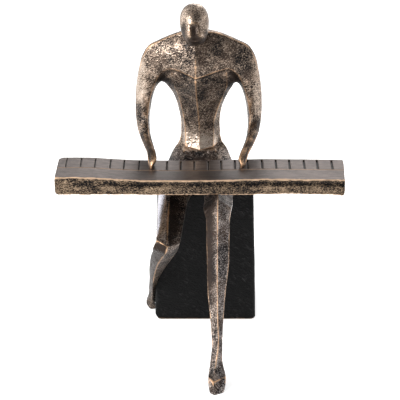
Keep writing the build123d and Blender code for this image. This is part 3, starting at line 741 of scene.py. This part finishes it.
def keyboard_mesh():
    low, high = keys_low, keys_high
    slots, widths = [], []
    for i in range(KEY_COUNT - 1):
        drift = KEY_DRIFT * max(0.0, sin(pi * min(i / DRIFTING_KEYS, 1)))
        slots.append(low[0] + FIRST_SLOT + KEY_PITCH * i + drift + 0.4 * sin(i * 2.7))
        widths.append(0.85 + 0.03 * i)
    spacing = 0.75
    xs = set(np.round(np.arange(low[0] + 1.0, high[0] - 0.9, spacing), 3))
    for x, width in zip(slots, widths):
        xs = {v for v in xs if abs(v - x) > width}
        xs |= {x - width * 0.62, x - width * 0.42, x, x + width * 0.42, x + width * 0.62}
    xs = np.array(sorted(xs))
    back, front = high[1], low[1]
    top, bottom = high[2], low[2]
    key_line = back - KEY_LENGTH

    edge = SLAB_EDGE

    def run(a, b, step=spacing):
        """Points along a straight stretch of the section, as (depth, height)."""
        a, b = np.array(a), np.array(b)
        count = max(1, int(np.linalg.norm(b - a) / step))
        return [a + (b - a) * i / count for i in range(count)]

    def bend(centre, start):
        """Points round a quarter turn of the slab's edge."""
        angles = [start + t * pi / 12 for t in range(6)]
        return [np.array(centre) + edge * np.array([cos(angle), sin(angle)]) for angle in angles]

    loop = run((front + edge, bottom), (back - edge, bottom), 1.5)
    loop += bend((back - edge, bottom + edge), -pi / 2)
    loop += run((back, bottom + edge), (back, top - edge))
    loop += bend((back - edge, top - edge), 0)
    loop += run((back - edge, top), (key_line + 0.35, top))
    loop += run((key_line + 0.35, top), (key_line - 0.35, top - KEY_STEP), 0.3)
    loop += run((key_line - 0.35, top - KEY_STEP), (front + edge, top - KEY_STEP))
    loop += bend((front + edge, top - KEY_STEP - edge), pi / 2)
    loop += run((front, top - KEY_STEP - edge), (front, bottom + edge))
    loop += bend((front + edge, bottom + edge), pi)
    loop = np.array(loop)
    middle = loop.mean(axis=0)
    rings = []
    ends = [(low[0], 0.8), (low[0] + 0.15, 0.4), (low[0] + 0.5, 0.1)]
    columns = [(x, inset) for x, inset in ends] + [(x, 0) for x in xs]
    columns += [(high[0] + low[0] - x, inset) for x, inset in reversed(ends)]
    for x, inset in columns:
        pull = np.sign(loop - middle) * inset * (np.abs(loop - middle) > (0.5, 0.5))
        rings.append(np.column_stack([np.full(len(loop), x), loop - pull]))
    rings = np.array(rings)
    in_slot = np.zeros(rings.shape[:2], dtype=bool)
    for i, (x, width) in enumerate(zip(slots, widths)):
        near = np.abs(rings[:, :, 0] - x) < width * 0.5
        on_top = (rings[:, :, 2] > top - 0.2) & (rings[:, :, 1] > key_line + 0.8 + 0.8 * sin(i * 2.3))
        in_slot |= near & on_top & (rings[:, :, 1] < back - 3.0)
    rings[:, :, 2] -= np.where(in_slot, SLOT_DEPTH, 0)
    mesh = joined([tube(rings)])
    points = positions(mesh)
    outward = normals(mesh)
    x, y, z = points.T.copy()
    upper = fade(bottom + 1, top - 1, z)

    stipple = fade(0.3, 0.9, -outward[:, 1]) + fade(0.5, 0.9, np.abs(outward[:, 0]))
    stipple = np.clip(stipple + fade(0.4, 0.9, -outward[:, 2]), 0, 1)
    ragged = 0.9 * (lattice_noise(points, 2.2, 41) - 0.5)
    top_edge = np.hypot(y - front, z - top + KEY_STEP) + ragged
    low_edge = np.hypot(y - front, z - bottom) + ragged
    end_edge = np.minimum(x - low[0], high[0] - x) + 0.8 + ragged
    line = band(y - key_line, -0.3, 0.45) * (z > top - 1) * 0.35
    rim = fade(1.4, 0.9, end_edge) * 0.8 * fade(0.8, 0.4, np.abs(outward[:, 0]))
    rim += fade(1.5, 0.8, top_edge) + fade(1.2, 0.6, low_edge)
    face_height = np.clip((z - bottom) / (top - bottom), 0, 1)
    facing = fade(0.6, 0.9, -outward[:, 1])
    # the front face's upper band, drawn back under the overhanging top edge and given a painted shadow
    lip = facing * band(face_height, 0.74, 0.13) * (0.35 + 0.65 * fade(-115, -60, x))
    # the strip in front of the keys, darker towards the middle
    strip = fade(0.5, 0.9, outward[:, 2]) * fade(key_line + 1, key_line - 3, y) * (z > top - 2)
    strip *= 0.55 * fade(110, 40, np.abs(x + 8))
    soot = lip * (0.15 + 0.5 * lattice_noise(points, 6.0, 47)) + strip
    add_attributes(mesh, polish=1 - stipple, rim=np.clip(rim + line, 0, 1), slot=in_slot.reshape(-1),
                   soot=np.clip(soot, 0, 1))

    bumps = lattice_noise(points, 1.5, 3) * 0.6 + lattice_noise(points + 40, 0.9, 5) * 0.4
    pits = fade(0.45, 0.75, bumps)
    points -= outward * (0.32 * pits * stipple + 0.12 * lattice_noise(points, 5.0, 9))[:, None]
    points[:, 1] += 1.1 * lip
    wave = 0.5 * (lattice_noise(points * (1, 0, 0), 9.0, 21) - 0.5)
    rise = along_slab(TOP_WAVE, x) * upper + along_slab(BOTTOM_WAVE, x) * (1 - upper)
    points[:, 2] += rise + wave * fade(6, 0, np.abs(y - front))

    from_left = np.clip((x - low[0]) / 20, 0, 1)
    inset = corner_inset(back - y, LEFT_CORNER) + corner_inset(z - bottom, 4.5) * fade(back, front, y)
    points[:, 0] += (1 - from_left) ** 2 * (inset + 0.8 * fade(front, back, y))
    from_right = np.clip((high[0] - x) / 10, 0, 1)
    inset = corner_inset(z - bottom, 3.5) + corner_inset(back - y, 2.0) + 1.6 * fade(back - 10, front, y)
    points[:, 0] -= (1 - from_right) ** 2 * inset
    points[:, 0] = np.clip(points[:, 0], low[0], high[0])
    points[:, 1] = np.clip(points[:, 1], low[1], high[1])
    set_positions(mesh, points)
    return mesh


# ---- block: a hollow tapered casting, slightly uneven ----
BLOCK_WALL = 5.0
PLATE_TOP = 5.0  # height of the base plate's upper side
PLATE_EDGE = 4.0  # width of the block's rim round the base plate
FOOT_EDGE = 0.5  # rounding at the floor
HEAD_EDGE = 2.0  # rounding at the top
CORNER = 3.2  # rounding of the upright edges
BEND_STEPS = 4
HIDDEN_RINGS = 6  # inside and underneath
FACET_WIDTH = 15.0  # of the shallow facet, at the floor
FACET_SLOPE = 0.42  # how much narrower it is for each millimetre up
FACET_DEPTH = 1.6


def block_mesh():
    """Rings from the middle of its ceiling, down inside, up outside and across the seat. The front has a
    shallow facet at the corner by the drawn-back foot."""
    low, high = block_low, block_high
    half_x, half_y = (high[0] - low[0]) / 2, (high[1] - low[1]) / 2
    head_shrink_x, head_shrink_y = BLOCK_TAPER
    per_side = 60

    def outline(a, b, radius, z):
        """A rounded rectangle with half-widths a and b at height z."""
        points = []
        for cx, cy, start in ((a, b, 0), (-a, b, 90), (-a, -b, 180), (a, -b, 270)):
            corner = np.array([cx - np.sign(cx) * radius, cy - np.sign(cy) * radius])
            for t in range(9):
                angle = radians(start + t * 90 / 8)
                points.append(corner + radius * np.array([cos(angle), sin(angle)]))
        points.append(points[0])
        points = np.array(points)
        run = np.concatenate([[0], np.cumsum(np.linalg.norm(np.diff(points, axis=0), axis=1))])
        at = np.linspace(0, run[-1], per_side * 4, endpoint=False)
        return np.column_stack([np.interp(at, run, points[:, 0]), np.interp(at, run, points[:, 1]),
                                np.full(len(at), z)])

    def outer(z, inset=0.0):
        """The block's outline at height z, drawn in by inset."""
        share = (z - low[2]) / (high[2] - low[2])
        return outline(half_x - head_shrink_x * share - inset, half_y - head_shrink_y * share - inset,
                       max(CORNER - inset * 0.5, 0.8), z)

    rings = []
    ceiling = high[2] - BLOCK_WALL - 1
    for share in (0.15, 0.5, 1.0):
        rings.append(outline((half_x - BLOCK_WALL - head_shrink_x) * share,
                             (half_y - BLOCK_WALL - head_shrink_y) * share, 1.5 * share, ceiling))
    rings.append(outline(half_x - BLOCK_WALL, half_y - BLOCK_WALL, 1.5, PLATE_TOP))
    for z in (PLATE_TOP, low[2]):
        rings.append(outline(half_x - PLATE_EDGE, half_y - PLATE_EDGE, 0.6, z))
    bend = [radians(t * 90 / BEND_STEPS) for t in range(BEND_STEPS + 1)]
    for angle in bend:
        rings.append(outer(low[2] + FOOT_EDGE * (1 - cos(angle)), FOOT_EDGE * (1 - sin(angle))))
    rows = 100
    straight = high[2] - low[2] - FOOT_EDGE - HEAD_EDGE
    for t in range(1, rows):
        rings.append(outer(low[2] + FOOT_EDGE + straight * (t / rows) ** 1.35))
    for angle in bend:
        rings.append(outer(high[2] - HEAD_EDGE * (1 - sin(angle)), HEAD_EDGE * (1 - cos(angle))))
    top = outer(high[2], HEAD_EDGE)
    for share in np.linspace(0.96, 0.02, 40):
        rings.append(top * (share, share, 1))
    mesh = joined([tube(rings)])
    points = positions(mesh)
    x, y, z = points.T
    outward = normals(mesh)
    ring = np.arange(len(points)) // len(rings[0])
    outside = ring > HIDDEN_RINGS
    shell = ring >= HIDDEN_RINGS
    facet = np.clip((z * -FACET_SLOPE - (x - low[0]) + FACET_WIDTH) / FACET_WIDTH, 0, 1)
    facet *= outside * (outward[:, 1] < -0.5)
    swell = lattice_noise(points, 22.0, 31) * 0.45 + lattice_noise(points, 6.0, 33) * 0.2
    swell *= 1 - 0.85 * fade(low[0] + 6, low[0] + 3, x) * fade(56, 46, z)
    brushed = lattice_noise(points, (2.5, 2.5, 6.0), 35) * 0.10
    height = z - low[2]
    foot = fade(1.5, 0.6, height + 0.7 * lattice_noise(points, 3.0, 37))
    add_attributes(mesh, rim=outside * foot)
    points -= outward * ((swell + brushed) * outside * fade(0, 3, height))[:, None]
    lower_left = np.minimum(corner_inset(height, 6.0), 2.6) * fade(low[0] + 14, low[0] + 3, x)
    lower_right = np.minimum(corner_inset(height, 3.5), 2.5) * fade(high[0] - 14, high[0] - 3, x)
    x += shell * (lower_left - lower_right)
    y += facet * FACET_DEPTH
    set_positions(mesh, points)
    return mesh


# ---- materials ----
class Nodes:
    """Adds nodes to a material or a world, and feeds its shader."""

    def __init__(self, owner, shader="Principled BSDF"):
        owner.use_nodes = True
        self.owner = owner
        self.tree = owner.node_tree
        self.shader = self.tree.nodes[shader]

    def feed(self, node, inputs):
        """Gives each named input of a node a value or another node's output."""
        for name, value in inputs.items():
            if hasattr(value, "links"):
                self.tree.links.new(value, node.inputs[name])
            else:
                node.inputs[name].default_value = value

    def add(self, kind, inputs, **settings):
        node = self.tree.nodes.new(kind)
        for key, value in settings.items():
            setattr(node, key, value)
        self.feed(node, inputs)
        return node.outputs

    def math(self, operation, a, b):
        return self.add("ShaderNodeMath", {0: a, 1: b}, operation=operation)[0]

    def plus(self, value, other, weight):
        """A value with another one added, times a weight."""
        return self.math("ADD", value, self.math("MULTIPLY", other, weight))

    def swing(self, value, size):
        """A value from 0 to 1 turned into one from -size / 2 to size / 2."""
        return self.math("MULTIPLY", self.math("SUBTRACT", value, 0.5), size)

    def ramp(self, value, low, high, to_low=0.0, to_high=1.0, smooth=True):
        """From to_low to to_high while the value goes from low to high."""
        inputs = {"Value": value, "From Min": low, "From Max": high, "To Min": to_low, "To Max": to_high}
        kind = "SMOOTHSTEP" if smooth else "LINEAR"
        return self.add("ShaderNodeMapRange", inputs, interpolation_type=kind)["Result"]

    def mix(self, share, a, b):
        return self.add("ShaderNodeMix", {"Factor": share, 6: a, 7: b}, data_type="RGBA")[2]

    def attribute(self, name):
        return self.add("ShaderNodeAttribute", {}, attribute_name=name)["Fac"]

    def pattern(self, size=(1, 1, 1), turn=(0, 0, 0)):
        """Object coordinates for a pattern stretched by size along its own turned axes."""
        where = self.add("ShaderNodeTexCoord", {})["Object"]
        inputs = {"Vector": where, "Scale": size, "Rotation": turn}
        return self.add("ShaderNodeMapping", inputs, vector_type="TEXTURE")["Vector"]

    def noise(self, where, size_mm, detail=2.0, roughness=0.5, distortion=0.0):
        inputs = {"Vector": where, "Scale": 1 / (size_mm * MM), "Detail": detail, "Roughness": roughness,
                  "Distortion": distortion}
        return self.add("ShaderNodeTexNoise", inputs)["Fac"]

    def bump(self, height, distance_mm, strength):
        inputs = {"Height": height, "Distance": distance_mm * MM, "Strength": strength}
        return self.add("ShaderNodeBump", inputs)["Normal"]


def new_material(name):
    return Nodes(bpy.data.materials.new(name))


PATINA = (0.008, 0.0075, 0.008, 1)
BROWN = (0.050, 0.034, 0.026, 1)
# the darkest brown, for thick patina and for painted shade
SHADE_AND_PATINA = (0.026, 0.017, 0.013, 1)
RUBBED = (0.36, 0.272, 0.208, 1)
CREAM = (0.65, 0.55, 0.465, 1)
COPPER = (0.70, 0.43, 0.25, 1)
# colour of the painted silvery reflection
PAINTED_REFLECTION = (0.56, 0.55, 0.60, 1)
COOL = (0.29, 0.262, 0.258, 1)
GOLD_SPECKS = (0.235, 0.165, 0.108, 1)
PALE_GOLD = (0.50, 0.38, 0.26, 1)
KEYS_DARK = (0.058, 0.045, 0.040, 1)
KEYS_LIGHT = (0.118, 0.092, 0.082, 1)
KEYS_SPECKS = (0.18, 0.145, 0.125, 1)
# the darker middle of the strip in front of the keys
KEYS_STRIP_DARK = (0.030, 0.022, 0.019, 1)
SLAB_RIM = (0.70, 0.48, 0.32, 1)
BLACK = (0.0006, 0.0006, 0.0008, 1)
BRUSHED = (0.030, 0.0285, 0.029, 1)
# the thin bronze line along the block's foot
FOOT_LINE = (0.24, 0.15, 0.09, 1)


def bronze_material():
    """Dark patina in the pits, tan metal where hands and cloth rubbed it, bright copper on the ridges;
    painted shade darkens some places together with the patina, and a painted silvery reflection lies where
    the polish is highest.
    """
    n = new_material("antique bronze")
    where = n.pattern()
    grain = n.noise(where, 0.8, roughness=0.55, distortion=0.2)
    streak = n.noise(n.pattern(size=(2.4, 1, 0.8), turn=(0, -0.5, 0)), 0.9, distortion=0.5)
    cloud = n.noise(where, 9, detail=3)
    stain = n.noise(n.pattern(size=(1, 1, 1.6)), 15)
    speckle = n.plus(n.math("MULTIPLY", grain, 0.5), streak, 0.5)
    polish = n.attribute("polish")
    soot = n.attribute("soot")
    worn = n.math("ADD", speckle, n.swing(cloud, 0.27))
    worn = n.plus(worn, polish, 0.12)
    worn = n.plus(worn, soot, -0.12)
    worn = n.plus(worn, n.attribute("form"), 0.05)
    rubbed = n.ramp(worn, 0.485, 0.59)
    bright = n.ramp(worn, 0.585, 0.70)
    broken = n.math("ADD", n.swing(speckle, 0.22), n.swing(cloud, 0.28))
    edge = n.ramp(n.math("ADD", n.attribute("ridge"), broken), 0.05, 0.27, 0.0, 0.9)
    edge = n.math("MULTIPLY", edge, n.ramp(soot, 0.3, 1.0, 1.0, 0.35))
    # painted silvery reflection, where the polish passes 1
    painted_sheen = n.ramp(polish, 1.0, 1.4)
    dark = n.mix(n.ramp(stain, 0.4, 0.62), PATINA, BROWN)
    colour = n.mix(rubbed, dark, n.mix(n.attribute("cool"), RUBBED, COOL))
    colour = n.mix(bright, colour, CREAM)
    # painted shade, together with the thickest patina
    colour = n.mix(n.math("MULTIPLY", soot, 0.85), colour, SHADE_AND_PATINA)
    colour = n.mix(painted_sheen, colour, PAINTED_REFLECTION)
    colour = n.mix(edge, colour, COPPER)
    bare = n.math("MAXIMUM", n.math("MAXIMUM", rubbed, edge), painted_sheen)
    n.feed(n.shader, {
        "Base Color": colour,
        "Metallic": n.ramp(bare, 0, 1, 0.82, 1.0, smooth=False),
        "Roughness": n.plus(n.ramp(bare, 0, 1, 0.46, 0.38, smooth=False), polish, -0.12),
        "Coat Weight": 0.1,
        "Coat Roughness": 0.25,
        "Specular IOR Level": 0.3,
        "Normal": n.bump(speckle, 0.3, 0.6),
    })
    return n.owner


def keyboard_material():
    """Satin grey-brown metal on top, stippled black and gold in front with a painted shadow band under its
    top edge, bright along the edges; the strip in front of the keys is darker towards the middle.
    """
    n = new_material("keyboard bronze")
    grain = n.noise(n.pattern(), 0.75, roughness=0.55)
    streak = n.noise(n.pattern(size=(2.2, 1, 0.8)), 0.9, distortion=0.3)
    patch = n.noise(n.pattern(size=(2, 1, 1)), 6)
    smear = n.noise(n.pattern(size=(2.6, 1, 1)), 4, detail=4, roughness=0.6)
    speckle = n.plus(n.math("MULTIPLY", grain, 0.5), streak, 0.5)
    polish = n.attribute("polish")
    soot = n.attribute("soot")
    # fewer gold specks in the painted shadow under the front's top edge
    worn = n.plus(n.math("ADD", speckle, n.swing(patch, 0.3)), soot, -0.12)
    front = n.mix(n.ramp(worn, 0.46, 0.57), PATINA, GOLD_SPECKS)
    front = n.mix(n.ramp(worn, 0.57, 0.72), front, PALE_GOLD)
    top = n.mix(n.ramp(smear, 0.3, 0.7), KEYS_DARK, KEYS_LIGHT)
    top = n.mix(n.ramp(speckle, 0.5, 0.7, 0.0, 0.35), top, KEYS_SPECKS)
    top = n.mix(soot, top, KEYS_STRIP_DARK)
    colour = n.mix(polish, front, top)
    colour = n.mix(n.attribute("rim"), colour, SLAB_RIM)
    colour = n.mix(n.attribute("slot"), colour, PATINA)
    n.feed(n.shader, {
        "Base Color": colour,
        "Metallic": 0.9,
        "Roughness": n.ramp(polish, 0, 1, 0.42, 0.44),
        "Normal": n.bump(speckle, 0.25, 0.45),
    })
    return n.owner


def block_material():
    """Black satin lacquer with faint brush marks, and a thin bronze line at the foot."""
    n = new_material("black lacquer")
    strokes = n.pattern(size=(1.6, 1, 0.5), turn=(0, 0.6, 0))
    strokes = n.noise(strokes, 5.0, detail=5, roughness=0.7, distortion=1.5)
    cloud = n.noise(n.pattern(), 18, detail=3)
    marks = n.math("MULTIPLY", n.ramp(strokes, 0.5, 0.7), n.ramp(cloud, 0.35, 0.6))
    n.feed(n.shader, {
        "Base Color": n.mix(n.attribute("rim"), n.mix(marks, BLACK, BRUSHED), FOOT_LINE),
        "Roughness": n.ramp(cloud, 0.3, 0.7, 0.40, 0.55),
        "Specular IOR Level": 0.17,
        "Normal": n.bump(strokes, 4.0, 0.9),
    })
    return n.owner


def steel_material():
    n = new_material("turned steel")
    lines = n.noise(n.pattern(size=(1, 1, 0.08)), 1.5, detail=3)
    n.feed(n.shader, {
        "Base Color": n.mix(n.ramp(lines, 0.3, 0.7), (0.42, 0.42, 0.43, 1), (0.62, 0.62, 0.63, 1)),
        "Metallic": 1.0,
        "Roughness": n.ramp(lines, 0.3, 0.7, 0.38, 0.28),
    })
    return n.owner


def felt_material():
    n = new_material("black felt")
    fibres = n.noise(n.pattern(), 0.5, detail=5, roughness=0.75, distortion=1.2)
    n.feed(n.shader, {
        "Base Color": n.mix(fibres, (0.006, 0.006, 0.006, 1), (0.04, 0.04, 0.042, 1)),
        "Roughness": 0.95,
        "Sheen Weight": 0.4,
        "Normal": n.bump(fibres, 0.3, 0.8),
    })
    return n.owner


# ---- room ----
# Axis, where along it the white cloth starts and where it is at its brightest, and how bright.
TENT_WALLS = [("Y", -0.35, 0.5, 0.8), ("X", -0.5, -0.9, 1.6), ("X", 0.66, 0.95, 1.25), ("Z", 0.6, 0.95, 0.3)]
TARGET = Vector((-5.6, -60.0, 134.6)) * MM
LAMP_TARGET = Vector((0, -60.0, 170.0)) * MM
ELEVATION = radians(20)
DISTANCE = 2.1
LENS = 189.0
FLOOR_Z = -0.0002  # just under the object's feet


def add_camera():
    data = bpy.data.cameras.new("camera")
    data.lens = LENS
    data.sensor_width = 36.0
    data.clip_end = 30
    camera = new_object("camera", data)
    camera.location = TARGET + Vector((0, -cos(ELEVATION), sin(ELEVATION))) * DISTANCE
    camera.rotation_euler = (pi / 2 - ELEVATION, 0, 0)
    bpy.context.scene.camera = camera


def add_softbox(name, at, size, watts):
    data = bpy.data.lights.new(name, "AREA")
    data.shape = "RECTANGLE"
    data.size, data.size_y = size
    data.energy = watts
    lamp = new_object(name, data)
    lamp.location = at
    lamp.rotation_euler = (LAMP_TARGET - lamp.location).to_track_quat("-Z", "Y").to_euler()


def light_tent(world):
    """White cloth behind, above and on both sides; dim in front."""
    n = Nodes(world, "Background")
    direction = n.add("ShaderNodeTexCoord", {})["Generated"]
    parts = n.add("ShaderNodeSeparateXYZ", {0: direction})
    walls = [n.ramp(parts[axis], start, full, 0.0, strength) for axis, start, full, strength in TENT_WALLS]
    total = walls[0]
    for wall in walls[1:]:
        total = n.math("ADD", total, wall)
    n.feed(n.shader, {"Strength": total, "Color": (1, 1, 1, 1)})


def add_floor():
    mesh = bpy.data.meshes.new("floor")
    bm = bmesh.new()
    bmesh.ops.create_grid(bm, x_segments=1, y_segments=1, size=6)
    bm.to_mesh(mesh)
    bm.free()
    n = new_material("white sweep")
    n.feed(n.shader, {
        "Base Color": (0.9, 0.9, 0.9, 1),
        "Emission Color": (1, 1, 1, 1),
        "Emission Strength": 0.55,
        "Roughness": 0.9,
        "Specular IOR Level": 0.1,
    })
    mesh.materials.append(n.owner)
    floor = new_object("floor", mesh)
    floor.location.z = FLOOR_Z


def add_room():
    scene = bpy.context.scene
    scene.world = bpy.data.worlds.new("studio")
    light_tent(scene.world)
    scene.view_settings.view_transform = "Standard"
    scene.view_settings.look = "None"
    add_softbox("key", (-1.0, -1.2, 1.0), (0.8, 0.8), 24)
    add_softbox("fill", (0.9, -1.25, 1.0), (0.4, 0.7), 2)
    add_softbox("back", (0.2, 1.1, 1.0), (0.9, 0.6), 6)


# ---- build ----
add_camera()
add_floor()
add_room()
bronze = bronze_material()
figure_pieces(figure_skin(), bronze)
place(head_mesh(), "head_casting", "head", bronze)
place(keyboard_mesh(), "keyboard_slab", "keyboard", keyboard_material())
place(block_mesh(), "block_casting", "block", block_material())

steel = steel_material()
felt = felt_material()
for node_name, piece in frame["nodes"].items():
    slot = next(s["material_slot"] for s in frame["record"]["subparts"] if s["node"] == node_name)
    if slot in ("steel", "felt"):
        piece.data.materials.clear()
        piece.data.materials.append(steel if slot == "steel" else felt)
